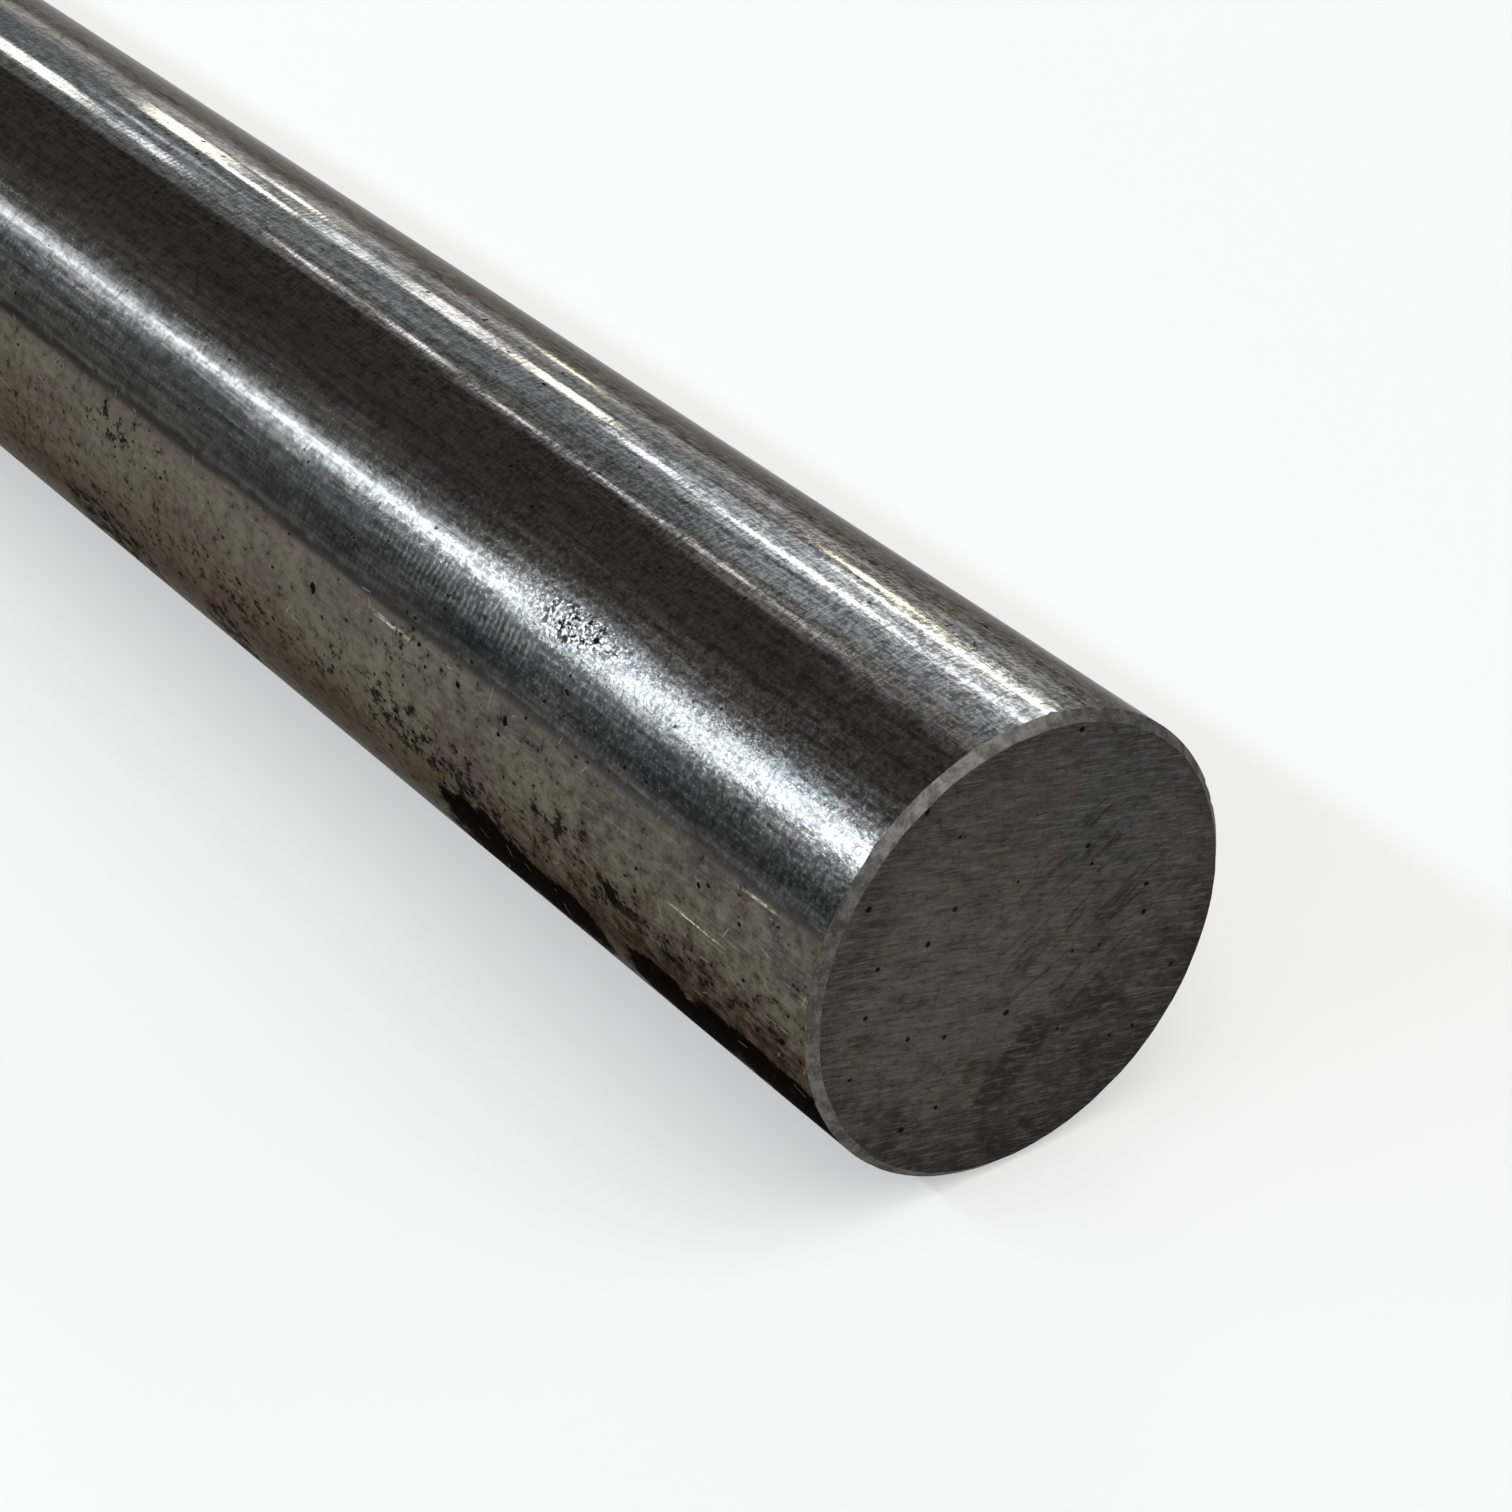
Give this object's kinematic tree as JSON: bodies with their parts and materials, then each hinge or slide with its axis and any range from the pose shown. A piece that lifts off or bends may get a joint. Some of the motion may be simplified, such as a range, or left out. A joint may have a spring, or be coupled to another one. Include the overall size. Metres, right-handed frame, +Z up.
{
  "type": "round metal bar",
  "caption": "Solid round bar of bright steel, cut square with a small chamfer at each end; raw stock for shafts, pins, rails and turned parts.",
  "frame": {"origin": "on the bar's axis, halfway along the bar", "axes": "+X along the bar's axis towards the near end, +Z up as the bar lies on a level floor, +Y across the bar"},
  "size_m": [0.5, 0.04, 0.04],
  "materials": {
    "bright_steel": "bright turned and polished, with sawn end faces"
  },
  "bodies": {
    "root": {"round_bar": "bright_steel"}
  },
  "joints": []
}
